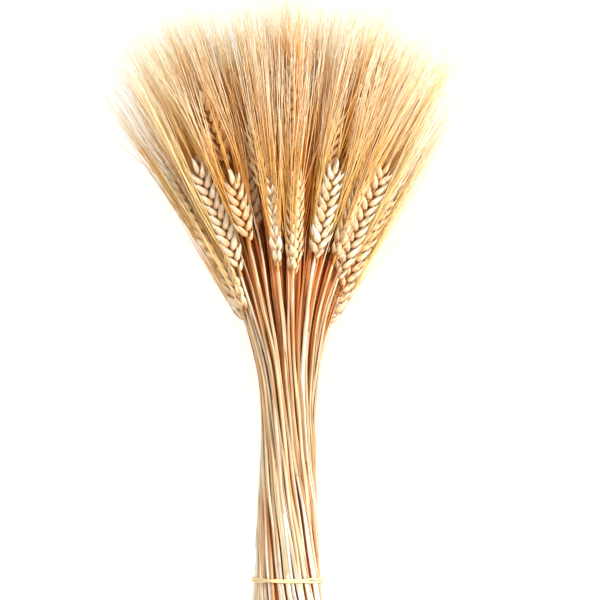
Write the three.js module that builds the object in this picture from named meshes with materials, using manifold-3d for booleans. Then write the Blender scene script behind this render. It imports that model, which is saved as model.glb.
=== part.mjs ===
// A tied bundle of dried bearded wheat, laid on its side as a cut bunch lies on a table.
// Millimetres. The cut ends are near Y = 0, the ears point to +Y, X runs across and +Z is up.
import * as THREE from 'three';
import { mergeVertices } from 'three/addons/utils/BufferGeometryUtils.js';
import Module from 'manifold-3d';

const wasm = await Module();
wasm.setup();

// Oval through the centre lines of the outer stalks: narrow at the waist, wider both ways from it
const waistAt = 155;
const waistHalfWidth = 17.6;
const waistHalfHeight = 15.5;
const flareWidthBelow = 0.124;
const flareHeightBelow = 0.06;
const flareWidthAbove = 0.27;
const flareWidthCurve = 0.00101;
const flareHeightAbove = 0.178;

// The stalks wind round each other between their cut ends and the ears
const fullTurn = THREE.MathUtils.degToRad(80);
const turnEndsAt = 250;

// Height of the lowest centre lines over the table, at the tie and at the ears
const liftAtTie = 4.1;
const liftAtEars = 4.2;

// Stems
const stalkSides = 6;
const stemLevels = [70, 125, 170, 215, 262, 308];
const shortestStep = 12;
const stemRadiusAtCut = 1.95;
const stemRadiusAtEar = 1.45;
const cutEndScatter = 7;

// Ears: two rows of pointed spikelets that stand out from the rachis in turn, left and right
const spikeletsPerRow = 5;
const keelOut = 6.4;
const keelIn = 3.0;
const flankOut = 4.3;
const flankIn = 2.7;
const keelRise = 0.85;
const flankRise = 0.1;
const flankAcross = 0.62;
const smallestSpikelet = 0.62;
const fullSizeFrom = 0.12;
const earLengthShortest = 50;
const earLengthSpread = 14;

// Awns: one long bristle each from some of the spikelets
const awnRings = [3, 6, 8, 9];
const awnRadius = 0.45;
const awnReachPastEar = 80;
const awnTopAtMiddle = 452;
const awnTopAtSides = 382;
const awnRoot = 0.75;
const awnRise = 0.42;
const awnSplay = 12.5;
const awnSplayFacing = 7.5;
const awnStagger = 2;

// Small differences between one stalk and the next
const sway = 0.04;
const swayFrom = 180;
const swayTo = 300;
const levelScatter = 5;
const dropAtSides = 60;
const rollScatter = 40;
const seed = 1001;

// Tie: one thin band round the stems
const tieAt = 44;
const tieHeight = 3.2;
const tieThickness = 2.2;
const tieClearance = 0.3;
const tieCurveSteps = 20;

// Outer stalks seen from above, left to right: angle round the bundle, both ends of the ear, and its roll
const upperEars = [
  { angle: 172, base: 266, tip: 332, roll: 20 },
  { angle: 153, base: 232, tip: 276, roll: 70 },
  { angle: 138, base: 262, tip: 339, roll: 0 },
  { angle: 121, base: 283, tip: 331, roll: 0 },
  { angle: 100, base: 265, tip: 336, roll: 80 },
  { angle: 84, base: 260, tip: 332, roll: 60 },
  { angle: 68, base: 271, tip: 338, roll: 15 },
  { angle: 47, base: 270, tip: 332, roll: 75 },
  { angle: 30, base: 257, tip: 339, roll: 10 },
  { angle: 10, base: 248, tip: 318, roll: 10 },
];
const lowerEarCount = 11;
const lowerEarBases = [335, 285];
const widerAtSides = 0.15;

// Inner rings: radius as a share of the outer oval, and the levels that their ears start at in turn
const innerRings = [
  { radius: 0.75, count: 17, start: 4, bases: [350, 318] },
  { radius: 0.5, count: 12, start: 15, bases: [300, 350] },
  { radius: 0.25, count: 6, start: 0, bases: [346, 310] },
  { radius: 0, count: 1, start: 0, bases: [325] },
];

// Colours
const strawTones = ['#e9d3a4', '#e2c48c', '#eedcb4', '#dab77c'];
const tieColour = '#e8d6a6';

const earRings = 2 * spikeletsPerRow;
const up = new THREE.Vector3(0, 0, 1);

function makeRandom(start) {
  let state = start;
  return () => {
    state = (state * 16807) % 2147483647;
    return state / 2147483647;
  };
}

function halfWidthAt(y) {
  const away = Math.abs(y - waistAt);
  const flare = y < waistAt ? flareWidthBelow * away : flareWidthAbove * away + flareWidthCurve * away * away;
  return Math.hypot(waistHalfWidth, flare);
}

function halfHeightAt(y) {
  const away = Math.abs(y - waistAt);
  return Math.hypot(waistHalfHeight, (y < waistAt ? flareHeightBelow : flareHeightAbove) * away);
}

function liftAt(y) {
  return liftAtTie + (liftAtEars - liftAtTie) * THREE.MathUtils.smoothstep(y, waistAt, turnEndsAt);
}

function turnAt(y) {
  const share = Math.max(0, turnEndsAt - y) / turnEndsAt;
  return fullTurn * share * share * (2 - share);
}

// A place in the bundle: across and above are shares of the oval, seen from the cut ends at ear level
function placeInBundle(across, above, y) {
  const turn = turnAt(y);
  const turnedAcross = across * Math.cos(turn) + above * Math.sin(turn);
  const turnedAbove = above * Math.cos(turn) - across * Math.sin(turn);
  const centreHeight = liftAt(y) + halfHeightAt(y);
  return new THREE.Vector3(turnedAcross * halfWidthAt(y), y, centreHeight + turnedAbove * halfHeightAt(y));
}

function stalkPoint(stalk, y) {
  const grown = THREE.MathUtils.smoothstep(y, swayFrom, swayTo);
  return placeInBundle(stalk.across + stalk.swayAcross * grown, stalk.above + stalk.swayAbove * grown, y);
}

function stalkDirection(stalk, y) {
  const step = 1;
  return stalkPoint(stalk, y + step).sub(stalkPoint(stalk, y - step)).normalize();
}

// Right-handed directions round a line: side, along and face
function directionsRound(along, rollDegrees) {
  const level = new THREE.Vector3().crossVectors(along, up).normalize();
  const side = level.applyAxisAngle(along, THREE.MathUtils.degToRad(rollDegrees));
  const face = new THREE.Vector3().crossVectors(side, along);
  return { side, along, face };
}

function solidFrom(geometry) {
  const bare = geometry.clone();
  bare.deleteAttribute('normal');
  bare.deleteAttribute('uv');
  const merged = mergeVertices(bare, 1e-4);
  return new wasm.Manifold(new wasm.Mesh({
    numProp: 3,
    vertProperties: new Float32Array(merged.attributes.position.array),
    triVerts: new Uint32Array(merged.index.array),
  }));
}

function geometryFrom(solid) {
  const mesh = solid.getMesh();
  const geometry = new THREE.BufferGeometry();
  geometry.setAttribute('position', new THREE.BufferAttribute(mesh.vertProperties, 3));
  geometry.setIndex(new THREE.BufferAttribute(mesh.triVerts, 1));
  return geometry;
}

// What would reach below the table is cut to a small flat spot
function restOnTable(solid) {
  if (solid.boundingBox().min[2] >= 0) return solid;
  const room = 1000;
  const aboveTable = new THREE.BoxGeometry(room, room, room).translate(0, 0, room / 2);
  return solid.intersect(solidFrom(aboveTable));
}

// Size of the spikelets along the ear: small at its foot, full in the middle, small again at its tip
function spikeletSize(ring) {
  const along = THREE.MathUtils.lerp(fullSizeFrom, 1, ring / earRings);
  return THREE.MathUtils.lerp(smallestSpikelet, 1, Math.sin(Math.PI * along));
}

// The row whose spikelet stands out on a ring: 1 on the side's own hand, -1 on the other
function rowOf(ring) {
  return ring % 2 === 1 ? 1 : -1;
}

// One corner of an ear's ring: a keel in the middle of each row, with a flank on either side of it
function earOffset(ring, across, facing) {
  const hand = Math.sign(across);
  const standsOut = rowOf(ring) === hand;
  const size = spikeletSize(ring);
  const isKeel = Math.abs(facing) < Math.abs(across) / 2;
  if (isKeel) {
    const keel = (standsOut ? keelOut : keelIn) * size;
    return { side: hand * keel, face: 0, rise: standsOut ? keelRise : 0 };
  }
  const flank = (standsOut ? flankOut : flankIn) * size;
  const rise = standsOut ? flankRise : 0;
  return { side: hand * flank * flankAcross, face: Math.sign(facing) * flank, rise };
}

function earRingAt(stalk, ring) {
  return THREE.MathUtils.lerp(stalk.base, stalk.tip, ring / (earRings + 1));
}

// Heights of a stalk's rings: the same ones up the stem for every stalk, so that neighbours bend alike
function ringLevels(stalk) {
  const onStem = stemLevels.filter((level) => level < stalk.base - shortestStep);
  const levels = [stalk.cut, ...onStem, stalk.base];
  for (let ring = 1; ring <= earRings + 1; ring += 1) levels.push(earRingAt(stalk, ring));
  return levels;
}

// Stem and ear are one rod that follows the stalk's line and closes to a point at the ear's tip
function rodSolid(stalk) {
  const levels = ringLevels(stalk);
  const steps = levels.length - 1;
  const stemSteps = steps - earRings - 1;
  const pitch = (stalk.tip - stalk.base) / (earRings + 1);
  const rod = new THREE.CylinderGeometry(0, 1, 1, stalkSides, steps, false, Math.PI / stalkSides);
  const position = rod.attributes.position;
  for (let i = 0; i < position.count; i += 1) {
    const step = Math.round((position.getY(i) + 0.5) * steps);
    const spread = Math.hypot(position.getX(i), position.getZ(i)) || 1;
    const across = position.getX(i) / spread;
    const facing = position.getZ(i) / spread;
    const onEar = step > stemSteps && step < steps;
    const radius = THREE.MathUtils.mapLinear(levels[step], 0, stalk.base, stemRadiusAtCut, stemRadiusAtEar);
    const offset = onEar
      ? earOffset(step - stemSteps, across, facing)
      : { side: across * radius, face: facing * radius, rise: 0 };
    const { side, along, face } = directionsRound(stalkDirection(stalk, levels[step]), stalk.roll);
    const point = stalkPoint(stalk, levels[step]).addScaledVector(along, offset.rise * pitch);
    point.addScaledVector(side, offset.side);
    point.addScaledVector(face, offset.face);
    position.setXYZ(i, point.x, point.y, point.z);
  }
  return solidFrom(rod);
}

// Height that the awns of a stalk end at: the whole bundle's tips form a low dome
function awnTopAt(stalk) {
  const dome = Math.sqrt(Math.max(0, 1 - stalk.across * stalk.across));
  const domeTop = THREE.MathUtils.lerp(awnTopAtSides, awnTopAtMiddle, dome);
  return Math.min(domeTop, stalk.tip + awnReachPastEar);
}

// An awn leaves its spikelet's point and ends on the dome, within its own stalk's room
function awnSolid(stalk, ring) {
  const row = rowOf(ring);
  const y = earRingAt(stalk, ring + awnRise);
  const { side, along, face } = directionsRound(stalkDirection(stalk, y), stalk.roll);
  const root = stalkPoint(stalk, y).addScaledVector(side, row * awnRoot * keelOut * spikeletSize(ring));
  const top = awnTopAt(stalk) - awnStagger * (earRings - ring);
  const spread = side.multiplyScalar(row * awnSplay).addScaledVector(face, (ring % 3 - 1) * awnSplayFacing);
  spread.z *= halfHeightAt(top) / halfWidthAt(top);
  const point = stalkPoint(stalk, top).add(spread);
  const length = root.distanceTo(point);
  const direction = point.sub(root).normalize();
  const needle = new THREE.ConeGeometry(awnRadius, length, 3).translate(0, length / 2, 0);
  const turned = directionsRound(direction, 0);
  const frame = new THREE.Matrix4().makeBasis(turned.side, turned.along, turned.face).setPosition(root);
  return solidFrom(needle.applyMatrix4(frame));
}

function stalkGeometry(stalk) {
  const pieces = [rodSolid(stalk)];
  for (const ring of awnRings) pieces.push(awnSolid(stalk, ring));
  return geometryFrom(restOnTable(wasm.Manifold.union(pieces)));
}

function stalkAt(radius, angleDegrees, base, tip, roll, random) {
  const angle = THREE.MathUtils.degToRad(angleDegrees);
  return {
    across: radius * Math.cos(angle),
    above: radius * Math.sin(angle),
    swayAcross: sway * (2 * random() - 1) * radius,
    swayAbove: sway * (2 * random() - 1) * radius,
    cut: cutEndScatter * random(),
    base,
    tip,
    roll,
  };
}

function stalkByRule(radius, angle, level, random) {
  const across = radius * Math.cos(THREE.MathUtils.degToRad(angle));
  const base = level - dropAtSides * across * across + levelScatter * (2 * random() - 1);
  const tip = base + earLengthShortest + earLengthSpread * random();
  return stalkAt(radius, angle, base, tip, rollScatter * (2 * random() - 1), random);
}

function allStalks() {
  const random = makeRandom(seed);
  const stalks = upperEars.map((ear) => stalkAt(1, ear.angle, ear.base, ear.tip, ear.roll, random));
  const firstAngle = upperEars[0].angle;
  const lastAngle = upperEars[upperEars.length - 1].angle + 360;
  for (let i = 1; i <= lowerEarCount; i += 1) {
    const share = i / (lowerEarCount + 1);
    const spaced = share + widerAtSides * Math.sin(2 * Math.PI * share) / (2 * Math.PI);
    const angle = THREE.MathUtils.lerp(firstAngle, lastAngle, spaced);
    stalks.push(stalkByRule(1, angle, lowerEarBases[i % lowerEarBases.length], random));
  }
  for (const ring of innerRings) {
    for (let i = 0; i < ring.count; i += 1) {
      const angle = ring.start + 360 * i / ring.count;
      stalks.push(stalkByRule(ring.radius, angle, ring.bases[i % ring.bases.length], random));
    }
  }
  return stalks;
}

// The band follows the outer stalks all round, a small gap away from them
function tieGeometry() {
  const innerHalfWidth = halfWidthAt(tieAt) + stemRadiusAtCut + tieClearance;
  const innerHalfHeight = halfHeightAt(tieAt) + stemRadiusAtCut + tieClearance;
  const centreHeight = liftAt(tieAt) + halfHeightAt(tieAt);
  const outline = new THREE.Shape();
  outline.absellipse(0, 0, innerHalfWidth + tieThickness, innerHalfHeight + tieThickness, 0, 2 * Math.PI);
  const inside = new THREE.Path();
  inside.absellipse(0, 0, innerHalfWidth, innerHalfHeight, 0, 2 * Math.PI);
  outline.holes.push(inside);
  const band = new THREE.ExtrudeGeometry(outline, {
    depth: tieHeight,
    curveSegments: tieCurveSteps,
    bevelEnabled: false,
  });
  band.rotateX(Math.PI / 2).translate(0, tieAt + tieHeight / 2, centreHeight);
  return geometryFrom(restOnTable(solidFrom(band)));
}

function strawMaterial(number) {
  return new THREE.MeshStandardMaterial({
    color: strawTones[number % strawTones.length],
    roughness: 0.7,
    metalness: 0,
  });
}

function tieMaterial() {
  return new THREE.MeshStandardMaterial({ color: tieColour, roughness: 0.6, metalness: 0 });
}

function namedMesh(name, geometry, material) {
  const mesh = new THREE.Mesh(geometry, material);
  mesh.name = name;
  return mesh;
}

const bundle = new THREE.Group();
allStalks().forEach((stalk, i) => {
  const name = `stalk_${String(i + 1).padStart(2, '0')}`;
  bundle.add(namedMesh(name, stalkGeometry(stalk), strawMaterial(i)));
});
bundle.add(namedMesh('tie', tieGeometry(), tieMaterial()));

// The origin is under the middle of the bundle, on the table
const middle = new THREE.Box3().setFromObject(bundle).getCenter(new THREE.Vector3());
bundle.position.set(-middle.x, -middle.y, 0);

export default bundle;
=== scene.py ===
"""A tied bundle of dried bearded wheat: stems, ears, awns and the tie, in metres, over its solids."""
import math

import bpy
import numpy as np
from mathutils import Matrix, Vector


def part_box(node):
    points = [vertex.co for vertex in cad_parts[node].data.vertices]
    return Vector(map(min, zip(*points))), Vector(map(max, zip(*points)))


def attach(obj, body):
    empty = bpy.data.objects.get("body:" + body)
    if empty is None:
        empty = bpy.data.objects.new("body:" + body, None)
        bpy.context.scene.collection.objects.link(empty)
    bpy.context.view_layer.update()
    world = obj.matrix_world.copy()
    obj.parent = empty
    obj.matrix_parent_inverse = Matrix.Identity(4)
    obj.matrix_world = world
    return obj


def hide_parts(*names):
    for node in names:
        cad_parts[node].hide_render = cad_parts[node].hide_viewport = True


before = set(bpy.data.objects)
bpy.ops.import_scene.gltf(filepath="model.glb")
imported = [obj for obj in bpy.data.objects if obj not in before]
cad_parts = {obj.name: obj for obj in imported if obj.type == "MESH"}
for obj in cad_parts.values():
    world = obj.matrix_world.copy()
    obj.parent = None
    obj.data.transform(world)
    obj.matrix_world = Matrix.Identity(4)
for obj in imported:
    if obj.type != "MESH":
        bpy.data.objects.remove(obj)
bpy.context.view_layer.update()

# Oval through the centre lines of the outer stalks, as in the solids
WAIST_AT = 0.155
WAIST_HALF_WIDTH = 0.0176
WAIST_HALF_HEIGHT = 0.0155
FLARE_WIDTH_BELOW = 0.124
FLARE_HEIGHT_BELOW = 0.06
FLARE_WIDTH_ABOVE = 0.27
FLARE_WIDTH_CURVE = 1.01
FLARE_HEIGHT_ABOVE = 0.178
FULL_TURN = math.radians(80)
TURN_ENDS_AT = 0.250
LIFT_AT_TIE = 0.0041
LIFT_AT_EARS = 0.0042

# Stalks: where the ears start and end, and the small differences between them
CUT_END_SCATTER = 0.007
EAR_LENGTH_SHORTEST = 0.050
EAR_LENGTH_SPREAD = 0.014
SWAY = 0.04
SWAY_FROM = 0.180
SWAY_TO = 0.300
LEVEL_SCATTER = 0.005
DROP_AT_SIDES = 0.060
ROLL_SCATTER = 40
LAYOUT_SEED = 1001
GENERATOR_FACTOR = 16807
GENERATOR_MODULUS = 2147483647
UPPER_EARS = [
    {"angle": 172, "base": 0.266, "tip": 0.332, "roll": 20},
    {"angle": 153, "base": 0.232, "tip": 0.276, "roll": 70},
    {"angle": 138, "base": 0.262, "tip": 0.339, "roll": 0},
    {"angle": 121, "base": 0.283, "tip": 0.331, "roll": 0},
    {"angle": 100, "base": 0.265, "tip": 0.336, "roll": 80},
    {"angle": 84, "base": 0.260, "tip": 0.332, "roll": 60},
    {"angle": 68, "base": 0.271, "tip": 0.338, "roll": 15},
    {"angle": 47, "base": 0.270, "tip": 0.332, "roll": 75},
    {"angle": 30, "base": 0.257, "tip": 0.339, "roll": 10},
    {"angle": 10, "base": 0.248, "tip": 0.318, "roll": 10},
]
LOWER_EAR_COUNT = 11
LOWER_EAR_BASES = [0.335, 0.285]
WIDER_AT_SIDES = 0.15
INNER_RINGS = [
    {"radius": 0.75, "count": 17, "start": 4, "bases": [0.350, 0.318]},
    {"radius": 0.5, "count": 12, "start": 15, "bases": [0.300, 0.350]},
    {"radius": 0.25, "count": 6, "start": 0, "bases": [0.346, 0.310]},
    {"radius": 0, "count": 1, "start": 0, "bases": [0.325]},
]

# A wave is a list of parts, each with its rate, its share of the wave's phase, and its height

# Stems: furrowed straws with swollen joints and hollow cut ends, and thinner shoots without an ear
STEM_RADIUS_AT_CUT = 0.00152
STEM_RADIUS_AT_EAR = 0.00106
STEM_RADIUS_SCATTER = 0.18
STEM_THICKER_INSIDE = 0.14
STEM_SIDES = 12
SHOOT_THICKNESS = 0.78
SHOOT_AWAY = 0.145
MIDDLE_SHOOT_ACROSS = -0.056
SHOOT_ENDS_PAST = 0.040
SHOOT_TAPER = 0.070
TAPERED_TO = 0.25
STEM_STEP = 0.009
STEM_WAVE = 0.00060
STEM_BENDS_ACROSS = [(41, 1.0, 1.0), (97, 2.3, 0.5)]
STEM_BENDS_ABOVE = [(37, 1.7, 1.0), (83, 3.1, 0.5)]
FURROW_DEPTH = 0.08
FURROWS = [(3, 1, 1.0), (5, -2, 0.6)]
FURROW_WINDING = 6
BORE_SHARE = 0.58
BORE_DEPTH = 0.008
CUT_RIM_SHARE = 0.96
LOW_JOINT_ABOVE_CUT = (0.030, 0.120)
HIGH_JOINT_BELOW_EAR = (0.060, 0.150)
JOINT_SWELL = 0.15
JOINT_LENGTH = 0.0018
JOINT_LEVELS = (-1.6, -0.8, 0.0, 0.8, 1.6)
EAR_OVERLAP = 0.004

# Sheaths and strips: a split leaf sheath above each joint, and narrow torn strips of it along the straw
SHEATH_STEPS = 22
SHEATH_SIDES = 8
SHEATH_OUTER = 1.19
SHEATH_INNER = 1.06
SHEATH_SHORTEST = 0.060
SHEATH_LONGEST = 0.120
SHEATH_OPENING = 80
SHEATH_OPENING_AT_END = 335
SHEATH_OPENING_CURVE = 1.6
SHEATH_NOTCHES = [(9, 1, 12)]
SHEATH_WINDING = 0.7
SHEATH_ENDS_BELOW_EAR = 0.010
STRIPS_PER_STEM = 3
STRIP_HALF_WIDTH = 0.00075
STRIP_WIDER_INSIDE = 3.4
STRIP_WIDER_FROM = 0.150
STRIP_WIDER_TO = 0.240
STRIP_ENDS = (0.03, 0.98)
STRIP_FULLNESS = 0.7
STRIP_HALF_THICKNESS = 0.00022
STRIP_SHORTEST = 0.090
STRIP_LONGEST = 0.190
STRIP_APART = 1.45
STRIP_LIFTS = [(11, 1, 0.10)]
STRIP_TWISTS = [(7, 1, 0.5)]
STRIP_WINDING = 2.4
STRIP_SIDES = 6
STRIP_STEPS = 22
SHOOT_GRAIN = 0.3
SHEATH_GRAIN = 0.5
STRIP_GRAIN = 0.7

# Ears: spikelets in two rows, each with two outer husks and three grains' husks; turns are in degrees
SPIKELET_PITCH = 0.0036
SPIKELET_LEAN = 23
FEWEST_SPIKELETS = 4
TERMINAL_LENGTH = 0.009
EAR_SMALLEST = 0.62
EAR_GROWS_FROM = -0.01
EAR_FULL_FROM = 0.14
EAR_SMALLER_TOWARDS_TIP = 0.16
RACHIS_RADIUS = 0.0009
RACHIS_SIDES = 6
RACHIS_STEPS = 8
HUSKS = [
    {"face": -0.0017, "out": 0.0008, "up": 0, "fan": -7, "lean": 1, "roll": -66, "size": 0.95, "awn": False},
    {"face": 0.0017, "out": 0.0008, "up": 0, "fan": 7, "lean": 1, "roll": 66, "size": 0.95, "awn": False},
    {"face": -0.0009, "out": 0.002, "up": 0.0019, "fan": -8, "lean": 4, "roll": -32, "size": 1, "awn": True},
    {"face": 0.0009, "out": 0.002, "up": 0.0024, "fan": 8, "lean": 4, "roll": 32, "size": 1, "awn": True},
    {"face": 0, "out": 0.0016, "up": 0.0042, "fan": 0, "lean": -4, "roll": 0, "size": 0.86, "awn": True},
]
HUSK_LENGTH = 0.0118
HUSK_HALF_WIDTH = 0.00300
HUSK_OUTER_DEPTH = 0.00115
HUSK_INNER_DEPTH = 0.0006
HUSK_KEEL = 0.30
HUSK_BOW = 0.0007
HUSK_SIDES = 7
HUSK_PROFILE = [(0.0, 0.45), (0.16, 0.86), (0.40, 1.0), (0.68, 0.74), (0.90, 0.30), (1.0, 0.09)]
HUSK_TURN_SCATTER = 9
HUSK_SIZE_SCATTER = 0.14

# Awns
AWN_RADIUS = 0.00036
AWN_TIP_RADIUS = 0.00010
AWNS_PER_HUSK = 1.8
AWN_SIDES = 3
AWN_STEPS = 6
AWN_FROM_HUSK_TIP = (0.90, 0.97)
AWN_FOLLOWS_HUSK = 0.35
AWN_LEAVING_SHARE = 0.35
AWN_ARRIVING_SHARE = 0.3
AWN_ARRIVING_LEAN = 0.5
AWN_TOP_AT_MIDDLE = 0.470
AWN_TOP_AT_SIDES = 0.410
AWN_TOP_ROUNDNESS = 2.9
AWN_TOP_SCATTER = 0.014
AWN_REACH_PAST_EAR = 0.098
AWN_SPLAY = 0.011
AWN_SCATTER = 0.009
AWN_SHORTER_LOW = 0.022
AWN_SHORTER_SCATTER = 0.050
AWN_STRAYS = 0.03
AWN_STRAY_SCATTER = 3.0
FAN_EDGE = 1.0
FAN_EDGE_SOFTNESS = 0.65
FAN_HEIGHT = 0.1062
SAG_FROM = 0.088
FLOOR_CLEARANCE = 0.0002
AWN_CLEARANCE = 0.0004
AWN_TIP_CLEARANCE = 0.0008

# Tie: two flat strands side by side that cross on top, and a small knot under the left side
TIE_AT = 0.044
TIE_INSIDE = 0.0021
STRAND_HALF_HEIGHT = 0.0009
STRAND_HALF_THICKNESS = 0.0006
STRAND_APART = 0.0009
STRANDS_CROSS_AT = 118
STRAND_SWAP_STEEPNESS = 3.2
STRAND_HUMP = 1.4
STRAND_HUMP_LENGTH = 0.10
STRAND_WOBBLES = [(5, 2, 0.00022), (11, 1, 0.00014)]
STRAND_TWISTS = [(3, 1, 0.35)]
STRAND_LIGHTS = [(7, 1, 0.05)]
STRAND_GRAIN_ROUND = 0.06
STRAND_SIDES = 10
STRAND_STEPS = 150
KNOT_AT = 224
KNOT_ANGLE_STEP = 0.05
KNOT_LENGTH_ROUND = 0.0042
KNOT_RADIUS = 0.0017
KNOT_TURNS = 2.5
KNOT_STEPS = 60
KNOT_GRAIN = 3
KNOT_ENDS = ((1, 0.45), (-1, 0.2))
KNOT_END_LENGTH = 0.007
KNOT_END_SWING = 0.012
KNOT_END_LIFT = 0.0004
KNOT_END_THINNER = 0.6
KNOT_END_STEPS = 8
KNOT_END_GRAIN = 4

# Camera and light; a pixel of the photograph is this long on the bundle
PIXEL = 0.0007
IMAGE_PIXELS = 600
AXIS_PIXEL_X = 288
CUT_ENDS_PIXEL_Y = 645
CAMERA_HEIGHT = 3.0
CAMERA_REACH = 50
SENSOR = 36.0
FOCUS_HEIGHT = 0.05
ROOM_STRENGTH = 1.04
ROOM_COLOUR = (1.0, 0.92, 0.82, 1)
KEY_PLACE = (1.25, 0.45, 1.15)
KEY_SIZE = 0.4
KEY_POWER = 37
KEY_COLOUR = (0.97, 1.0, 1.0)
KEY_AIM = (0, 0.05, 0.05)
FLOOR_HALF_SIDE = 4.0
FLOOR_TONE = (0.72, 0.72, 0.74, 1)
FLOOR_GLOW = 0.54
FLOOR_ROUGHNESS = 0.9
WHITE = (1, 1, 1, 1)

# Colours, as linear shares of light
STRAW_TONES = [(0.90, 0.71, 0.43), (0.88, 0.66, 0.36), (0.92, 0.76, 0.50), (0.86, 0.62, 0.32)]
TONE_LIGHT_SCATTER = 0.14
TONE_WARM_SCATTER = 0.07
# Painted shade and bounced light: below the bundle's outer layer, stems, ears and awns are made darker and
# redder
STEM_PAINTED_INNER_SHADE = (0.98, 0.48, 0.22)
EAR_PAINTED_INNER_SHADE = (1.04, 0.92, 0.72)
AWN_PAINTED_INNER_SHADE = (0.97, 0.68, 0.33)
AWN_PAINTED_INNER_SHADE_AT_SIDES = (1.07, 0.94, 0.70)
# Painted shade at the middle of the fan, where it is deepest
PAINTED_SHADE_MIDDLE_WITHIN = 0.2
PAINTED_SHADE_MIDDLE_ENDS_AT = 0.9
MIDDLE_WITHIN = 0.2
PAINTED_SHADE_DEPTH_FROM = -0.0015
PAINTED_SHADE_DEPTH_TO = 0.0019
LEAST_REACH = 0.01
CUT_ENDS_PALE_TO = 0.035
TIPS_FROM = 0.350
TIPS_TO = 0.430
STEM_SHADE = (0.82, 0.925, 1.14)
STEM_SHADE_FROM = 0.14
STEM_FOOT_SHADE = (0.95, 1.27, 2.00)
# Painted shade in the hollow bore of each cut end, and on its rim
BORE_PAINTED_SHADE = 0.3
BORE_RIM_PAINTED_SHADE = 0.7
CUT_RIM_LIGHT = 1.05
OLD_STRAW_SHADE = (0.67, 0.33, 0.14)
OLD_SHOOT_CURVE = 1.15
FRESH_STRIP_SHADE = (1.04, 1.0, 0.95)
OLD_STRIP_CURVE = 1.5
SHEATH_SHADE = (0.94, 0.90, 0.80)
SHEATH_LIGHT_SCATTER = 0.16
JOINT_TONE = (0.45, 0.20, 0.07)
JOINT_TONE_SHARE = 0.35
# Painted shade: husks darker at their feet, where they tuck in among the others
HUSK_ROOT_PAINTED_SHADE = (0.93, 0.66, 0.42)
HUSK_TIP_SHADE = (1.0, 1.19, 1.58)
HUSK_PALE_CURVE = 0.7
# Painted shade along the husks' side edges
HUSK_MARGIN_PAINTED_SHADE = 0.38
HUSK_MARGIN_CURVE = 4
HUSK_LIGHT_SCATTER = 0.14
HUSK_GRAIN_SCATTER = 0.01
AWN_ROOT_SHADE = (1.05, 0.92, 0.60)
# Painted shade: awn roots darker and more golden at the middle of the fan
AWN_ROOT_PAINTED_SHADE_AT_MIDDLE = (0.90, 0.60, 0.22)
AWN_TIP_TONE = (0.93, 0.93, 0.78)
AWN_PALE_NEAR_TIP = 1.9
STEM_WEATHERED = (0.80, 0.56, 0.34, 1)
HUSK_WEATHERED = (0.90, 0.68, 0.44, 1)
AWN_WEATHERED = (0.97, 0.85, 0.64, 1)
PATCHES_PER_METRE = (260, 260, 22)
RAFFIA_TONE = (0.86, 0.70, 0.40)
DRY_SHINE = 0.25
FIBRE_DETAIL = 2.0
FIBRE_NOISE_RANGE = (0.3, 0.7)
WEATHERED_NOISE_RANGE = (0.48, 0.70)
BUMP_STRENGTH = 0.8
MM_PER_METRE = 1000

DETAIL_SEED = 7
SMALL_STEP = 0.001
UP = Vector((0, 0, 1))

rng = np.random.default_rng(DETAIL_SEED)


def park_miller(start):
    """The layout's generator of random shares, the same as the solids use."""
    state = start
    while True:
        state = (state * GENERATOR_FACTOR) % GENERATOR_MODULUS
        yield state / GENERATOR_MODULUS


def smoothstep(value, low, high):
    share = np.clip((value - low) / (high - low), 0, 1)
    return share * share * (3 - 2 * share)


def lerp(low, high, share):
    return low + (high - low) * share


def mix(first, second, share):
    return np.asarray(first) * (1 - share) + np.asarray(second) * share


def wave(parts, at, phase):
    """A wave's value at one place."""
    return sum(height * math.sin(rate * at + share * phase) for rate, share, height in parts)


def half_width_at(y):
    away = np.abs(y - WAIST_AT)
    flare_above = FLARE_WIDTH_ABOVE * away + FLARE_WIDTH_CURVE * away * away
    return np.hypot(WAIST_HALF_WIDTH, np.where(y < WAIST_AT, FLARE_WIDTH_BELOW * away, flare_above))


def half_height_at(y):
    away = np.abs(y - WAIST_AT)
    flare = np.where(y < WAIST_AT, FLARE_HEIGHT_BELOW, FLARE_HEIGHT_ABOVE)
    return np.hypot(WAIST_HALF_HEIGHT, flare * away)


def lift_at(y):
    return lerp(LIFT_AT_TIE, LIFT_AT_EARS, smoothstep(y, WAIST_AT, TURN_ENDS_AT))


def turn_at(y):
    share = max(0.0, TURN_ENDS_AT - y) / TURN_ENDS_AT
    return FULL_TURN * share * share * (2 - share)


def layout_shift():
    """From the layout's own origin to the frame's, read off the tie's solid."""
    low, high = (Vector(corner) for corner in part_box("tie"))
    middle = (low + high) / 2
    return Vector((middle.x, middle.y - TIE_AT, 0))


SHIFT = layout_shift()


def place_in_bundle(across, above, y):
    """A place from its shares of the bundle's half width and half height, wound by the bundle's turn."""
    turn = turn_at(y)
    turned_across = across * math.cos(turn) + above * math.sin(turn)
    turned_above = above * math.cos(turn) - across * math.sin(turn)
    centre_height = lift_at(y) + half_height_at(y)
    place = Vector((turned_across * half_width_at(y), y, centre_height + turned_above * half_height_at(y)))
    return place + SHIFT


def stalk_point(stalk, y):
    grown = smoothstep(y, SWAY_FROM, SWAY_TO)
    across = stalk["across"] + stalk["sway_across"] * grown
    above = stalk["above"] + stalk["sway_above"] * grown
    return place_in_bundle(across, above, y)


def stalk_direction(stalk, y):
    return (stalk_point(stalk, y + SMALL_STEP) - stalk_point(stalk, y - SMALL_STEP)).normalized()


def directions_round(along, roll_degrees=0.0):
    """Side, along and face directions round a line, right-handed."""
    side = along.cross(UP).normalized()
    side.rotate(Matrix.Rotation(math.radians(roll_degrees), 3, along))
    return side, along, side.cross(along)


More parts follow.
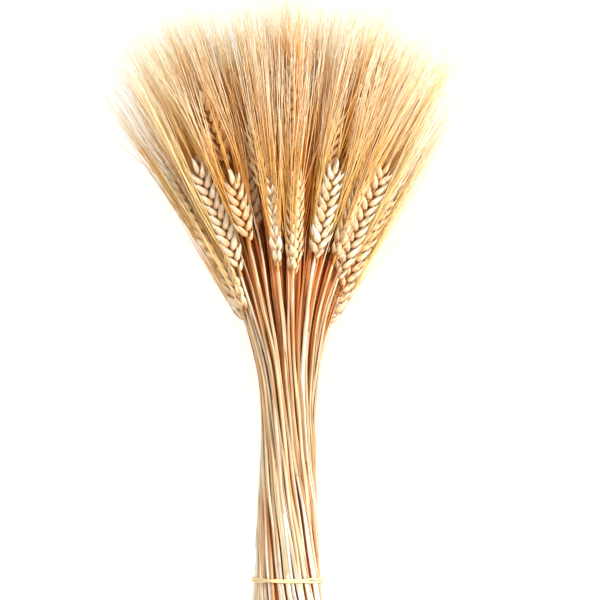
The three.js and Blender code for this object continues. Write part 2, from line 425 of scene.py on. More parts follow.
def stalk_at(radius, angle_degrees, base, tip, roll, shares):
    angle = math.radians(angle_degrees)
    return {
        "across": radius * math.cos(angle),
        "above": radius * math.sin(angle),
        "sway_across": SWAY * (2 * next(shares) - 1) * radius,
        "sway_above": SWAY * (2 * next(shares) - 1) * radius,
        "cut": CUT_END_SCATTER * next(shares),
        "base": base,
        "tip": tip,
        "roll": roll,
    }


def stalk_by_rule(radius, angle, level, shares):
    across = radius * math.cos(math.radians(angle))
    base = level - DROP_AT_SIDES * across * across + LEVEL_SCATTER * (2 * next(shares) - 1)
    tip = base + EAR_LENGTH_SHORTEST + EAR_LENGTH_SPREAD * next(shares)
    roll = ROLL_SCATTER * (2 * next(shares) - 1)
    return stalk_at(radius, angle, base, tip, roll, shares)


def all_stalks():
    """Every stalk in the order of the solids' names."""
    shares = park_miller(LAYOUT_SEED)
    stalks = []
    for ear in UPPER_EARS:
        stalks.append(stalk_at(1, ear["angle"], ear["base"], ear["tip"], ear["roll"], shares))
    first_angle = UPPER_EARS[0]["angle"]
    last_angle = UPPER_EARS[-1]["angle"] + 360
    for i in range(1, LOWER_EAR_COUNT + 1):
        share = i / (LOWER_EAR_COUNT + 1)
        spaced = share + WIDER_AT_SIDES * math.sin(2 * math.pi * share) / (2 * math.pi)
        angle = lerp(first_angle, last_angle, spaced)
        stalks.append(stalk_by_rule(1, angle, LOWER_EAR_BASES[i % len(LOWER_EAR_BASES)], shares))
    for ring in INNER_RINGS:
        for i in range(ring["count"]):
            angle = ring["start"] + 360 * i / ring["count"]
            level = ring["bases"][i % len(ring["bases"])]
            stalks.append(stalk_by_rule(ring["radius"], angle, level, shares))
    return stalks


def painted_inner_shade_share(points):
    """0 on the bundle's outside and at both ends, and 1 below its outer layer, where painted shade and
    bounced light make the straw darker and redder.
    """
    y = points[:, 1] - SHIFT.y
    across = points[:, 0] - SHIFT.x
    above = points[:, 2] - lift_at(y) - half_height_at(y)
    reach = np.hypot(across / half_width_at(y), above / half_height_at(y))
    depth = np.hypot(across, above) * (1 / np.maximum(reach, LEAST_REACH) - 1)
    inside = smoothstep(depth, PAINTED_SHADE_DEPTH_FROM, PAINTED_SHADE_DEPTH_TO)
    return inside * smoothstep(y, 0, CUT_ENDS_PALE_TO) * (1 - smoothstep(y, TIPS_FROM, TIPS_TO))


BUNDLE = bpy.data.collections.new("bundle")
bpy.context.scene.collection.children.link(BUNDLE)


class Skin:
    """Collects the points, faces and per-point values of one piece."""

    def __init__(self):
        self.points = []
        self.tones = []
        self.grains = []
        self.faces = []

    def add(self, points, faces, tones, grains):
        start = sum(len(block) for block in self.points)
        self.points.append(np.asarray(points, dtype=float))
        self.tones.append(np.asarray(tones, dtype=float))
        self.grains.append(np.asarray(grains, dtype=float))
        self.faces.extend([tuple(start + corner for corner in face) for face in faces])

    def to_object(self, name, material, painted_inner_shade):
        mesh = bpy.data.meshes.new(name)
        points = np.vstack(self.points)
        mesh.from_pydata(points.tolist(), [], self.faces)
        tone = mesh.attributes.new("tone", "FLOAT_COLOR", "POINT")
        # Painted shade: the tones of points below the bundle's outer layer are darkened and reddened
        shades = 1 - painted_inner_shade_share(points)[:, None] * (1 - np.array(painted_inner_shade))
        colours = np.hstack([np.vstack(self.tones) * shades, np.ones((len(points), 1))])
        tone.data.foreach_set("color", colours.ravel())
        grain = mesh.attributes.new("grain", "FLOAT_VECTOR", "POINT")
        grain.data.foreach_set("vector", np.vstack(self.grains).ravel())
        mesh.polygons.foreach_set("use_smooth", [True] * len(mesh.polygons))
        mesh.materials.append(material)
        piece = bpy.data.objects.new(name, mesh)
        BUNDLE.objects.link(piece)
        return piece


def grid_faces(rings, sides):
    """Quads between neighbouring rings of a closed tube."""
    faces = []
    for ring in range(rings - 1):
        for k in range(sides):
            after = (k + 1) % sides
            low = ring * sides
            faces.append((low + k, low + after, low + sides + after, low + sides + k))
    return faces


def depth_of(stalk):
    """0 for the outer stalks, 1 at the middle of the bundle."""
    return 1 - smoothstep(math.hypot(stalk["across"], stalk["above"]), MIDDLE_WITHIN, 1)


def fan_middle_painted_shade_share(stalk):
    """1 at the middle of the fan and 0 at its sides; at the middle, painted shade makes the awns darker and
    more golden.
    """
    return 1 - smoothstep(abs(stalk["across"]), PAINTED_SHADE_MIDDLE_WITHIN, PAINTED_SHADE_MIDDLE_ENDS_AT)


def tint_of(number):
    """A stalk's own tint near its slot's colour: lighter or darker, warmer or cooler."""
    light = 1 + TONE_LIGHT_SCATTER * (rng.random() - 0.5)
    warm = TONE_WARM_SCATTER * (rng.random() - 0.5)
    tone = np.array(STRAW_TONES[number % len(STRAW_TONES)])
    return tone * (light, light * (1 - warm), light * (1 - 2 * warm))


def angles_round(sides):
    return [2 * math.pi * k / sides for k in range(sides)]


def joints_of(stalk):
    """Heights of one straw's swollen joints."""
    low = stalk["cut"] + lerp(*LOW_JOINT_ABOVE_CUT, rng.random())
    high = stalk["base"] - lerp(*HIGH_JOINT_BELOW_EAR, rng.random())
    return [low, high]


def joint_share(y, joints):
    """1 at a joint, and 0 away from it."""
    return min(1.0, sum(math.exp(-((y - joint) / JOINT_LENGTH) ** 2) for joint in joints))


def stem_levels(stalk, joints):
    """Steps along a stem, closer together at its joints."""
    steps = math.ceil((stalk["base"] - stalk["cut"]) / STEM_STEP)
    levels = [lerp(stalk["cut"], stalk["base"] + EAR_OVERLAP, i / steps) for i in range(steps + 1)]
    for joint in joints:
        levels.extend(joint + share * JOINT_LENGTH for share in JOINT_LEVELS)
    return sorted(levels)


def straw_point(stalk, straw, y):
    """A point on a straw's centre line, with the small bends of a real straw."""
    across = STEM_WAVE * wave(STEM_BENDS_ACROSS, y, straw["phase"])
    above = STEM_WAVE * wave(STEM_BENDS_ABOVE, y, straw["phase"])
    return stalk_point(stalk, y) + Vector((across, 0, above))


def straw_radius(stalk, straw, y):
    end = stalk["base"] + EAR_OVERLAP
    taper = lerp(1.0, TAPERED_TO, smoothstep(y, end - straw["taper"], end))
    return straw["thickness"] * taper * lerp(STEM_RADIUS_AT_CUT, STEM_RADIUS_AT_EAR, y / stalk["base"])


def round_section(radius, sides):
    return [(radius * math.cos(angle), radius * math.sin(angle)) for angle in angles_round(sides)]


def straw_section(radius, phase):
    """A straw's outline: round, with shallow lengthwise furrows."""
    section = []
    for angle in angles_round(STEM_SIDES):
        furrows = sum(height * math.cos(rate * angle + share * phase) for rate, share, height in FURROWS)
        furrowed = radius * (1 + FURROW_DEPTH * furrows)
        section.append((furrowed * math.cos(angle), furrowed * math.sin(angle)))
    return section


def sheath_section(radius, opening, turn):
    """A sheath's outline: a thin sleeve round the straw, open down one side."""
    start = turn + opening / 2
    end = turn + 2 * math.pi - opening / 2
    angles = [lerp(start, end, k / (SHEATH_SIDES - 1)) for k in range(SHEATH_SIDES)]
    outer, inner = radius * SHEATH_OUTER, radius * SHEATH_INNER
    section = [(outer * math.cos(angle), outer * math.sin(angle)) for angle in angles]
    section.extend((inner * math.cos(angle), inner * math.sin(angle)) for angle in reversed(angles))
    return section


def strip_section(half_width, tilt):
    """A torn strip's outline: flat, with rounded edges, tilted about its own line."""
    section = []
    for wide, thick in round_section(1.0, STRIP_SIDES):
        across, out = wide * half_width, thick * STRIP_HALF_THICKNESS
        sideways = out * math.cos(tilt) - across * math.sin(tilt)
        facing = out * math.sin(tilt) + across * math.cos(tilt)
        section.append((sideways, facing))
    return section


def add_tube(skin, rings, number):
    """Adds a closed tube through rings that each have a centre, direction, outline and colour.

    The number moves the fibres along the tube, so that neighbours don't look alike."""
    points, tones, grains = [], [], []
    sides = len(rings[0]["section"])
    length = 0.0
    for i, ring in enumerate(rings):
        side, _, face = directions_round(ring["along"])
        if i:
            length += (ring["centre"] - rings[i - 1]["centre"]).length
        for across, facing in ring["section"]:
            points.append(ring["centre"] + side * across + face * facing)
            grains.append((across, facing, length + number))
        tones.extend([ring["tone"]] * sides)
    faces = grid_faces(len(rings), sides)
    faces.append(tuple(reversed(range(sides))))
    faces.append(tuple(range(sides * (len(rings) - 1), sides * len(rings))))
    skin.add(points, faces, tones, grains)


def stem_tint(tint, y):
    """Stems are palest near their cut ends."""
    return tint * mix(STEM_FOOT_SHADE, STEM_SHADE, smoothstep(y, 0, STEM_SHADE_FROM))


def add_straw(skin, stalk, straw, number):
    """The straw from its hollow cut end to the foot of its ear."""
    levels = stem_levels(stalk, straw["joints"])
    cut = levels[0]
    # Painted shade: the hollow bore and its rim are darkened at the cut end
    steps = [
        (cut + BORE_DEPTH, BORE_SHARE, BORE_PAINTED_SHADE),
        (cut, BORE_SHARE, BORE_RIM_PAINTED_SHADE),
        (cut, CUT_RIM_SHARE, CUT_RIM_LIGHT),
    ]
    steps.extend((y, 1.0, 1.0) for y in levels)
    rings = []
    for y, share, light in steps:
        joint = joint_share(y, straw["joints"])
        radius = straw_radius(stalk, straw, y) * share * (1 + JOINT_SWELL * joint)
        rings.append({
            "centre": straw_point(stalk, straw, y),
            "along": stalk_direction(stalk, y),
            "section": straw_section(radius, straw["phase"] + FURROW_WINDING * y),
            "tone": mix(stem_tint(straw["tint"], y), JOINT_TONE, JOINT_TONE_SHARE * joint) * light,
        })
    add_tube(skin, rings, number)


def add_sheath(skin, stalk, straw, joint, number):
    """The dry leaf sheath above a joint: it winds a little and ends in a torn point."""
    torn_at = joint + lerp(SHEATH_SHORTEST, SHEATH_LONGEST, rng.random())
    end = min(torn_at, stalk["base"] - SHEATH_ENDS_BELOW_EAR)
    turn = 2 * math.pi * rng.random()
    light = 1 + SHEATH_LIGHT_SCATTER * (rng.random() - 0.5)
    rings = []
    for i in range(SHEATH_STEPS + 1):
        share = i / SHEATH_STEPS
        y = lerp(joint, end, share)
        opening = lerp(SHEATH_OPENING, SHEATH_OPENING_AT_END, share ** SHEATH_OPENING_CURVE)
        opening = math.radians(opening + wave(SHEATH_NOTCHES, share, turn))
        radius = straw_radius(stalk, straw, y)
        rings.append({
            "centre": straw_point(stalk, straw, y),
            "along": stalk_direction(stalk, y),
            "section": sheath_section(radius, opening, turn + SHEATH_WINDING * share),
            "tone": stem_tint(straw["tint"], y) * SHEATH_SHADE * light,
        })
    add_tube(skin, rings, number + SHEATH_GRAIN)


def add_strip(skin, stalk, straw, number):
    """A narrow torn strip of dry sheath that lies along its straw."""
    length = lerp(STRIP_SHORTEST, STRIP_LONGEST, rng.random())
    start = lerp(stalk["cut"], stalk["base"] - length, rng.random() ** 0.5)
    turn = 2 * math.pi * rng.random()
    winding = STRIP_WINDING * (rng.random() - 0.5)
    shade = mix(FRESH_STRIP_SHADE, OLD_STRAW_SHADE, rng.random() ** OLD_STRIP_CURVE)
    widest = STRIP_WIDER_INSIDE * depth_of(stalk) ** 0.5
    rings = []
    for i in range(STRIP_STEPS + 1):
        share = i / STRIP_STEPS
        y = lerp(start, start + length, share)
        side, along, face = directions_round(stalk_direction(stalk, y))
        around = turn + winding * share
        widening = widest * smoothstep(y, STRIP_WIDER_FROM, STRIP_WIDER_TO)
        fullness = math.sin(math.pi * lerp(*STRIP_ENDS, share)) ** STRIP_FULLNESS
        half_width = STRIP_HALF_WIDTH * (1 + widening) * fullness
        away = straw_radius(stalk, straw, y) * (STRIP_APART + wave(STRIP_LIFTS, share, turn))
        centre = straw_point(stalk, straw, y)
        centre += side * (away * math.cos(around)) + face * (away * math.sin(around))
        centre.z = max(centre.z, half_width + FLOOR_CLEARANCE)
        rings.append({
            "centre": centre,
            "along": along,
            "section": strip_section(half_width, around + wave(STRIP_TWISTS, share, turn)),
            "tone": stem_tint(straw["tint"], y) * shade,
        })
    add_tube(skin, rings, number + STRIP_GRAIN)


def side_shoot(stalk):
    """The course of a thinner shoot without an ear, part of the way to the next stalk round the bundle."""
    away = max(math.hypot(stalk["across"], stalk["above"]), SHOOT_AWAY)
    shoot = dict(stalk)
    shoot["across"] += SHOOT_AWAY * (stalk["above"] or MIDDLE_SHOOT_ACROSS) / away
    shoot["above"] -= SHOOT_AWAY * stalk["across"] / away
    shoot["cut"] = CUT_END_SCATTER * rng.random()
    shoot["base"] += SHOOT_ENDS_PAST * rng.random()
    return shoot


def straw_of(stalk, thickness, tint, taper):
    return {
        "joints": joints_of(stalk),
        "thickness": thickness * (1 + STEM_RADIUS_SCATTER * (2 * rng.random() - 1)),
        "phase": 2 * math.pi * rng.random(),
        "tint": tint,
        "taper": taper,
    }


def stem_skin(stalk, number, tint):
    straw = straw_of(stalk, 1 + STEM_THICKER_INSIDE * depth_of(stalk), tint, EAR_OVERLAP)
    shoot = side_shoot(stalk)
    shoot_tint = tint_of(number + 1) * mix((1, 1, 1), OLD_STRAW_SHADE, rng.random() ** OLD_SHOOT_CURVE)
    shoot_straw = straw_of(shoot, SHOOT_THICKNESS, shoot_tint, SHOOT_TAPER)
    skin = Skin()
    add_straw(skin, stalk, straw, number)
    add_straw(skin, shoot, shoot_straw, number + SHOOT_GRAIN)
    for joint in straw["joints"]:
        add_sheath(skin, stalk, straw, joint, number)
    for _ in range(STRIPS_PER_STEM):
        add_strip(skin, stalk, straw, number)
    return skin


def husk_template():
    """A boat-shaped pointed scale from its foot: width along X, length along Y, back towards Z."""
    points, lengthwise, sideways = [], [], []
    for share, width in HUSK_PROFILE:
        bow = HUSK_BOW * math.sin(math.pi * share)
        for angle in angles_round(HUSK_SIDES):
            rise = math.sin(angle)
            depth = HUSK_INNER_DEPTH * rise
            if rise > 0:
                depth = HUSK_OUTER_DEPTH * rise * (1 + HUSK_KEEL * rise * rise)
            across = width * HUSK_HALF_WIDTH * math.cos(angle)
            points.append((across, share * HUSK_LENGTH, bow + width * depth))
            lengthwise.append(share)
            sideways.append(math.cos(angle))
    faces = grid_faces(len(HUSK_PROFILE), HUSK_SIDES)
    faces.append(tuple(reversed(range(HUSK_SIDES))))
    return np.array(points), faces, np.array(lengthwise), np.array(sideways)


HUSK_POINTS, HUSK_FACES, HUSK_LENGTHWISE, HUSK_SIDEWAYS = husk_template()


def spikelet_frames(stalk):
    """Each spikelet's place on the ear, its row (1 or -1, 0 at the tip) and its size."""
    reach = stalk["tip"] - TERMINAL_LENGTH - stalk["base"]
    count = max(FEWEST_SPIKELETS, round(reach / SPIKELET_PITCH))
    frames = []
    for i in range(count + 1):
        share = i / count
        grown = smoothstep(share, EAR_GROWS_FROM, EAR_FULL_FROM)
        size = lerp(EAR_SMALLEST, 1.0, grown) * (1 - EAR_SMALLER_TOWARDS_TIP * share ** 3)
        row = 0 if i == count else 1 - 2 * (i % 2)
        y = lerp(stalk["base"], stalk["base"] + reach, share)
        frames.append({"y": y, "row": row, "size": size})
    return frames


def husk_directions(husk, row, side, along, face):
    """A husk's width, length and back directions, from its spikelet's row."""
    out = side if row >= 0 else -side
    lean = (SPIKELET_LEAN + husk["lean"]) * abs(row) + HUSK_TURN_SCATTER * (rng.random() - 0.5)
    lean = math.radians(lean)
    fan = math.radians(husk["fan"] + HUSK_TURN_SCATTER * (rng.random() - 0.5))
    roll = math.radians(husk["roll"])
    spine = along * math.cos(lean) + out * math.sin(lean)
    back = out * math.cos(lean) - along * math.sin(lean)
    axis = spine * math.cos(fan) + face * math.sin(fan)
    sideways = face * math.cos(fan) - spine * math.sin(fan)
    outward = back * math.cos(roll) + sideways * math.sin(roll)
    return axis.cross(outward), axis, outward


def add_husk(skin, foot, directions, size, tint, number):
    turned = HUSK_POINTS * size @ np.array([list(direction) for direction in directions])
    points = turned + np.array(foot)
    points[:, 2] = np.maximum(points[:, 2], FLOOR_CLEARANCE)
    light = 1 + HUSK_LIGHT_SCATTER * (rng.random() - 0.5)
    # Painted shade: each husk is darker at its foot, where it tucks in among the others, and paler towards
    # its tip
    shades = mix(HUSK_ROOT_PAINTED_SHADE, HUSK_TIP_SHADE, HUSK_LENGTHWISE[:, None] ** HUSK_PALE_CURVE)
    # Painted shade: the husk's side edges are darkened, for the thin shade lines between husks
    painted_margin_shade = 1 - HUSK_MARGIN_PAINTED_SHADE * HUSK_SIDEWAYS[:, None] ** HUSK_MARGIN_CURVE
    grains = HUSK_POINTS[:, [0, 2, 1]] + (HUSK_GRAIN_SCATTER * rng.random(), 0, number)
    skin.add(points, HUSK_FACES, tint * light * shades * painted_margin_shade, grains)


def ear_top(stalk):
    """Height that an ear's longest awns end at: together they form a low, uneven dome."""
    dome = max(0.0, 1 - abs(stalk["across"]) ** AWN_TOP_ROUNDNESS)
    top = lerp(AWN_TOP_AT_SIDES, AWN_TOP_AT_MIDDLE, dome) - AWN_TOP_SCATTER * rng.random()
    return min(top, stalk["tip"] + AWN_REACH_PAST_EAR)


def awn_top(longest, share):
    """An awn's end height: lower and less even for spikelets lower on the ear."""
    return longest - AWN_SHORTER_LOW * (1 - share) - AWN_SHORTER_SCATTER * rng.random() ** 2


def awn_end(stalk, top, row, facing):
    """The awn's tip, spread less in height than in width, as the bundle is."""
    side, _, face = directions_round(stalk_direction(stalk, top), stalk["roll"])
    scatter = AWN_SCATTER * (AWN_STRAY_SCATTER if rng.random() < AWN_STRAYS else 1)
    spread = side * (row * AWN_SPLAY + scatter * (2 * rng.random() - 1))
    spread += face * (facing * AWN_SPLAY + scatter * (2 * rng.random() - 1))
    spread.z *= half_height_at(top) / half_width_at(top)
    end = stalk_point(stalk, top) + spread
    end.z = max(end.z, AWN_TIP_CLEARANCE)
    return end


def drawn_in(place):
    """Draws a place outside the bundle's oval back towards it, and lets the highest awns sag."""
    y = place.y - SHIFT.y
    middle = Vector((SHIFT.x, place.y, lift_at(y) + half_height_at(y)))
    away = place - middle
    reach = math.hypot(away.x / half_width_at(y), away.z / half_height_at(y))
    if reach > FAN_EDGE:
        away *= (FAN_EDGE + FAN_EDGE_SOFTNESS * (reach - FAN_EDGE)) / reach
    drawn = middle + away
    if drawn.z > SAG_FROM:
        room = FAN_HEIGHT - SAG_FROM
        drawn.z = SAG_FROM + room * math.tanh((drawn.z - SAG_FROM) / room)
    return drawn


def add_awn(skin, stalk, root, husk_axis, end, tint, number):
    """A thin bristle that leaves its husk's point and bends into the bundle's flow."""
    length = (end - root).length
    flow = (end - root).normalized()
    start = husk_axis.lerp(flow, 1 - AWN_FOLLOWS_HUSK).normalized()
    along = stalk_direction(stalk, end.y - SHIFT.y).lerp(flow, AWN_ARRIVING_LEAN)
    leaving = root + start * (length * AWN_LEAVING_SHARE)
    arriving = end - along * (length * AWN_ARRIVING_SHARE)
    rings = []
    before = root - start
    # Painted shade: the awn's root is darker and more golden at the middle of the fan
    root_tone = tint * mix(AWN_ROOT_SHADE, AWN_ROOT_PAINTED_SHADE_AT_MIDDLE, fan_middle_painted_shade_share(stalk))
    for i in range(AWN_STEPS + 1):
        t = i / AWN_STEPS
        centre = root * (1 - t) ** 3 + leaving * (3 * t * (1 - t) ** 2)
        centre += arriving * (3 * t * t * (1 - t))
        centre += end * t ** 3
        centre = centre.lerp(drawn_in(centre), t ** 0.5)
        centre.z = max(centre.z, AWN_CLEARANCE)
        rings.append({
            "centre": centre,
            "along": (centre - before).normalized(),
            "section": round_section(lerp(AWN_RADIUS, AWN_TIP_RADIUS, t), AWN_SIDES),
            "tone": mix(root_tone, AWN_TIP_TONE, t ** AWN_PALE_NEAR_TIP),
        })
        before = centre
    add_tube(skin, rings, number)


def add_rachis(skin, stalk, number, tint):
    """The ear's own stem, from the straw's end to the last spikelet."""
    start = stalk["base"] - EAR_OVERLAP
    end = stalk["tip"] - TERMINAL_LENGTH
    rings = []
    for i in range(RACHIS_STEPS + 1):
        y = lerp(start, end, i / RACHIS_STEPS)
        rings.append({
            "centre": stalk_point(stalk, y),
            "along": stalk_direction(stalk, y),
            "section": round_section(RACHIS_RADIUS, RACHIS_SIDES),
            # painted shade: the rachis takes the husks' darkened foot colour
            "tone": tint * HUSK_ROOT_PAINTED_SHADE,
        })
    add_tube(skin, rings, number)


def ear_skins(stalk, number, tint):
    """The ear with its rachis and husks, and its awns."""
    ear, awns = Skin(), Skin()
    longest = ear_top(stalk)
    add_rachis(ear, stalk, number, tint)
    for spikelet in spikelet_frames(stalk):
        middle = stalk_point(stalk, spikelet["y"])
        side, along, face = directions_round(stalk_direction(stalk, spikelet["y"]), stalk["roll"])
        row, size = spikelet["row"], spikelet["size"]
        share = (spikelet["y"] - stalk["base"]) / (stalk["tip"] - stalk["base"])
        for husk in HUSKS:
            foot = middle + side * (row * husk["out"] * size) + face * (husk["face"] * size)
            foot += along * (husk["up"] * size)
            directions = husk_directions(husk, row, side, along, face)
            axis = directions[1]
            scale = size * husk["size"] * (1 + HUSK_SIZE_SCATTER * (rng.random() - 0.5))
            add_husk(ear, foot, directions, scale, tint, number)
            awn_count = int(AWNS_PER_HUSK + rng.random()) if husk["awn"] else 0
            for _ in range(awn_count):
                root = foot + axis * (HUSK_LENGTH * scale * lerp(*AWN_FROM_HUSK_TIP, rng.random()))
                root.z = max(root.z, AWN_CLEARANCE)
                end = awn_end(stalk, awn_top(longest, share), row, np.sign(husk["face"]))
                add_awn(awns, stalk, root, axis, end, tint, number)
    return ear, awns


def oval_point(angle, out, y):
    """A point on the oval through the outer stalks at the tie, moved outwards."""
    half_width = half_width_at(TIE_AT) + out
    half_height = half_height_at(TIE_AT) + out
    centre_height = lift_at(TIE_AT) + half_height_at(TIE_AT)
    place = Vector((half_width * math.cos(angle), y, centre_height + half_height * math.sin(angle)))
    place.z = max(place.z, STRAND_HALF_THICKNESS + FLOOR_CLEARANCE)
    return place + SHIFT


def outward_at(angle, out, y):
    """The direction straight out of the oval at one of its points."""
    return (oval_point(angle, out + SMALL_STEP, y) - oval_point(angle, out, y)).normalized()


def strand_skin(strand):
    """One flat strand round the stems; the two swap sides where they cross."""
    skin = Skin()
    points, tones, grains = [], [], []
    for i in range(STRAND_STEPS):
        angle = 2 * math.pi * i / STRAND_STEPS
        past_crossing = math.sin(0.5 * (angle - math.radians(STRANDS_CROSS_AT)))
        swap = math.tanh(STRAND_SWAP_STEEPNESS * past_crossing)
        y = TIE_AT + strand * STRAND_APART * swap + wave(STRAND_WOBBLES, angle, strand)
        over = STRAND_HUMP * math.exp(-(past_crossing / STRAND_HUMP_LENGTH) ** 2) if strand > 0 else 0
        out = TIE_INSIDE + STRAND_HALF_THICKNESS * (1 + over)
        centre = oval_point(angle, out, y)
        outward = outward_at(angle, out, y)
        twist = wave(STRAND_TWISTS, angle, strand)
        upward = Vector((0, math.cos(twist), 0)) + outward * math.sin(twist)
        outward = outward * math.cos(twist) - Vector((0, math.sin(twist), 0))
        for round_angle in angles_round(STRAND_SIDES):
            high = STRAND_HALF_HEIGHT * math.cos(round_angle)
            thick = STRAND_HALF_THICKNESS * math.sin(round_angle)
            points.append(centre + upward * high + outward * thick)
            grains.append((high, thick, STRAND_GRAIN_ROUND * i / STRAND_STEPS + strand))
        tone = np.array(RAFFIA_TONE) * (1 + wave(STRAND_LIGHTS, angle, strand))
        tones.extend([tone] * STRAND_SIDES)
    faces = grid_faces(STRAND_STEPS, STRAND_SIDES)
    last = (STRAND_STEPS - 1) * STRAND_SIDES
    for k in range(STRAND_SIDES):
        after = (k + 1) % STRAND_SIDES
        faces.append((last + k, last + after, after, k))
    skin.add(points, faces, tones, grains)
    return skin


def path_rings(points, half_side, half_face):
    """The rings of a raffia strand along a path."""
    circle = round_section(1.0, STRAND_SIDES)
    section = [(half_side * across, half_face * facing) for across, facing in circle]
    rings = []
    for i, point in enumerate(points):
        ahead = points[min(i + 1, len(points) - 1)]
        behind = points[max(i - 1, 0)]
        rings.append({
            "centre": point,
            "along": (ahead - behind).normalized(),
            "section": section,
            "tone": RAFFIA_TONE,
        })
    return rings


def knot_skin():
    """A small knot over the strands: a few close turns and two short ends."""
    skin = Skin()
    angle = math.radians(KNOT_AT)
    out = TIE_INSIDE + STRAND_HALF_THICKNESS
    centre = oval_point(angle, out, TIE_AT)
    outward = outward_at(angle, out, TIE_AT)
    round_way = (oval_point(angle + KNOT_ANGLE_STEP, out, TIE_AT) - centre).normalized()
    lengthwise = Vector((0, 1, 0))
    turns = []
    for i in range(KNOT_STEPS + 1):
        share = i / KNOT_STEPS
        turn = 2 * math.pi * KNOT_TURNS * share
        along = round_way * (KNOT_LENGTH_ROUND * (share - 0.5))
        around = (lengthwise * math.cos(turn) + outward * math.sin(turn)) * KNOT_RADIUS
        turns.append(centre + along + around)
    add_tube(skin, path_rings(turns, STRAND_HALF_THICKNESS, STRAND_HALF_THICKNESS), KNOT_GRAIN)
    for way, lean in KNOT_ENDS:
        end = []
        for i in range(KNOT_END_STEPS + 1):
            share = i / KNOT_END_STEPS
            bend = outward * (KNOT_RADIUS * (1 - share * share) + KNOT_END_LIFT)
            bend -= round_way * (way * lean * KNOT_END_SWING * share)
            end.append(centre + bend + lengthwise * (way * KNOT_END_LENGTH * share))
        rings = path_rings(end, STRAND_HALF_HEIGHT, STRAND_HALF_THICKNESS * KNOT_END_THINNER)
        add_tube(skin, rings, KNOT_END_GRAIN)
    return skin


def add_node(nodes, kind, values):
    """A shader node with some of its inputs set, each by its name or number."""
    node = nodes.new(kind)
    for socket, value in values.items():
        node.inputs[socket].default_value = value
    return node


def add_attribute(nodes, name):
    node = nodes.new("ShaderNodeAttribute")
    node.attribute_name = name
    return node


def add_vector_math(nodes, operation, values):
    node = add_node(nodes, "ShaderNodeVectorMath", values)
    node.operation = operation
    return node


def fibre_material(name, roughness, across_per_mm, along_per_mm, contrast, bump_height, weathered_shade):
    """Dry plant matter: coloured by its points' tones, with fine fibres along the grain."""
    material = bpy.data.materials.new(name)
    material.use_nodes = True
    nodes, links = material.node_tree.nodes, material.node_tree.links
    shader = nodes["Principled BSDF"]
    shader.inputs["Roughness"].default_value = roughness
    shader.inputs["Specular IOR Level"].default_value = DRY_SHINE
    tone = add_attribute(nodes, "tone")
    grain = add_attribute(nodes, "grain")
    fibres_per_metre = [MM_PER_METRE * count for count in (across_per_mm, across_per_mm, along_per_mm)]
    stretch = add_vector_math(nodes, "MULTIPLY", {1: fibres_per_metre})
    fibres = add_node(nodes, "ShaderNodeTexNoise", {"Scale": 1.0, "Detail": FIBRE_DETAIL})
    light = add_node(nodes, "ShaderNodeMapRange", {
        "From Min": FIBRE_NOISE_RANGE[0],
        "From Max": FIBRE_NOISE_RANGE[1],
        "To Min": 1 - contrast,
        "To Max": 1 + contrast,
    })
    coloured = add_vector_math(nodes, "SCALE", {})
    spread = add_vector_math(nodes, "MULTIPLY", {1: PATCHES_PER_METRE})
    patches = add_node(nodes, "ShaderNodeTexNoise", {"Scale": 1.0})
    weathered = add_node(nodes, "ShaderNodeMapRange", {
        "From Min": WEATHERED_NOISE_RANGE[0],
        "From Max": WEATHERED_NOISE_RANGE[1],
    })
    stain = nodes.new("ShaderNodeMix")
    stain.data_type = "RGBA"
    stain.blend_type = "MULTIPLY"
    stain.inputs["B"].default_value = weathered_shade
    bump = add_node(nodes, "ShaderNodeBump", {"Distance": bump_height, "Strength": BUMP_STRENGTH})
    links.new(grain.outputs["Vector"], stretch.inputs[0])
    links.new(stretch.outputs["Vector"], fibres.inputs["Vector"])
    links.new(fibres.outputs["Fac"], light.inputs["Value"])
    links.new(tone.outputs["Color"], coloured.inputs[0])
    links.new(light.outputs["Result"], coloured.inputs["Scale"])
    links.new(grain.outputs["Vector"], spread.inputs[0])
    links.new(spread.outputs["Vector"], patches.inputs["Vector"])
    links.new(patches.outputs["Fac"], weathered.inputs["Value"])
    links.new(weathered.outputs["Result"], stain.inputs["Factor"])
    links.new(coloured.outputs["Vector"], stain.inputs["A"])
    links.new(stain.outputs["Result"], shader.inputs["Base Color"])
    links.new(fibres.outputs["Fac"], bump.inputs["Height"])
    links.new(bump.outputs["Normal"], shader.inputs["Normal"])
    return material


def stem_material():
    """Smooth straw with long fibres and brown stains."""
    return fibre_material(
        "dry stem",
        roughness=0.6,
        across_per_mm=1.0,
        along_per_mm=0.03,
        contrast=0.34,
        bump_height=0.0003,
        weathered_shade=STEM_WEATHERED,
    )


def husk_material():
    """Papery scales with fine veins."""
    return fibre_material(
        "dry husk",
        roughness=0.62,
        across_per_mm=2.2,
        along_per_mm=0.16,
        contrast=0.12,
        bump_height=0.0001,
        weathered_shade=HUSK_WEATHERED,
    )


def awn_material():
    return fibre_material(
        "dry awn",
        roughness=0.6,
        across_per_mm=1.0,
        along_per_mm=0.05,
        contrast=0.08,
        bump_height=0.00002,
        weathered_shade=AWN_WEATHERED,
    )


def raffia_material():
    return fibre_material(
        "raffia",
        roughness=0.6,
        across_per_mm=2.4,
        along_per_mm=0.05,
        contrast=0.10,
        bump_height=0.0001,
        weathered_shade=HUSK_WEATHERED,
    )


def place_piece(skin, name, material, painted_inner_shade, node):
    piece = skin.to_object(name, material, painted_inner_shade)
    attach(piece, "root")
    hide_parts(node)


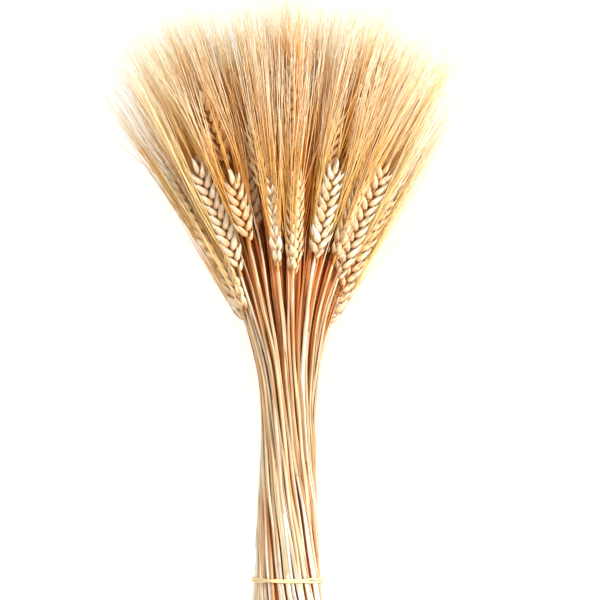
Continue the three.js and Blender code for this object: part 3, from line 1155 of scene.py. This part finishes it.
def build_stalks():
    stem_look, husk_look, awn_look = stem_material(), husk_material(), awn_material()
    for number, stalk in enumerate(all_stalks()):
        node = f"stalk_{number + 1:02d}"
        tint = tint_of(number)
        stem = stem_skin(stalk, number, tint)
        ear, awns = ear_skins(stalk, number, tint)
        # Painted shade inside the bundle, stronger at the middle of the fan than at its sides
        awn_painted_inner_shade = mix(AWN_PAINTED_INNER_SHADE_AT_SIDES, AWN_PAINTED_INNER_SHADE, fan_middle_painted_shade_share(stalk))
        place_piece(stem, f"{node}_stem", stem_look, STEM_PAINTED_INNER_SHADE, node)
        place_piece(ear, f"{node}_ear", husk_look, EAR_PAINTED_INNER_SHADE, node)
        place_piece(awns, f"{node}_awns", awn_look, awn_painted_inner_shade, node)


def build_tie():
    raffia_look = raffia_material()
    place_piece(strand_skin(1), "tie_strand_upper", raffia_look, STEM_PAINTED_INNER_SHADE, "tie")
    place_piece(strand_skin(-1), "tie_strand_lower", raffia_look, STEM_PAINTED_INNER_SHADE, "tie")
    place_piece(knot_skin(), "tie_knot", raffia_look, STEM_PAINTED_INNER_SHADE, "tie")


def build_floor():
    mesh = bpy.data.meshes.new("floor")
    half = FLOOR_HALF_SIDE
    corners = [(-half, -half, 0), (half, -half, 0), (half, half, 0), (-half, half, 0)]
    mesh.from_pydata(corners, [], [(0, 1, 2, 3)])
    material = bpy.data.materials.new("pale floor")
    material.use_nodes = True
    shader = material.node_tree.nodes["Principled BSDF"]
    shader.inputs["Base Color"].default_value = FLOOR_TONE
    shader.inputs["Roughness"].default_value = FLOOR_ROUGHNESS
    shader.inputs["Emission Color"].default_value = WHITE
    shader.inputs["Emission Strength"].default_value = FLOOR_GLOW
    mesh.materials.append(material)
    floor = bpy.data.objects.new("floor", mesh)
    bpy.context.scene.collection.objects.link(floor)


def build_room_light():
    world = bpy.data.worlds.new("white room")
    world.use_nodes = True
    background = world.node_tree.nodes["Background"]
    background.inputs["Color"].default_value = ROOM_COLOUR
    background.inputs["Strength"].default_value = ROOM_STRENGTH
    bpy.context.scene.world = world


def build_key_light():
    """A square light from the right, on the bundle alone, so that the floor stays even."""
    data = bpy.data.lights.new("window", "AREA")
    data.shape = "SQUARE"
    data.size = KEY_SIZE
    data.energy = KEY_POWER
    data.color = KEY_COLOUR
    light = bpy.data.objects.new("window", data)
    light.location = KEY_PLACE
    light.rotation_mode = "QUATERNION"
    light.rotation_quaternion = (Vector(KEY_AIM) - Vector(KEY_PLACE)).to_track_quat("-Z", "Y")
    bpy.context.scene.collection.objects.link(light)
    light.light_linking.receiver_collection = BUNDLE


def build_camera():
    """Looks straight down, with the ears at the top of the picture."""
    data = bpy.data.cameras.new("camera")
    data.sensor_width = SENSOR
    data.lens = SENSOR * (CAMERA_HEIGHT - FOCUS_HEIGHT) / (IMAGE_PIXELS * PIXEL)
    data.clip_end = CAMERA_REACH
    camera = bpy.data.objects.new("camera", data)
    across = (IMAGE_PIXELS / 2 - AXIS_PIXEL_X) * PIXEL
    along = (CUT_ENDS_PIXEL_Y - IMAGE_PIXELS / 2) * PIXEL
    camera.location = SHIFT + Vector((across, along, CAMERA_HEIGHT))
    bpy.context.scene.collection.objects.link(camera)
    bpy.context.scene.camera = camera


build_stalks()
build_tie()
build_floor()
build_room_light()
build_key_light()
build_camera()
bpy.context.scene.view_settings.view_transform = "Standard"
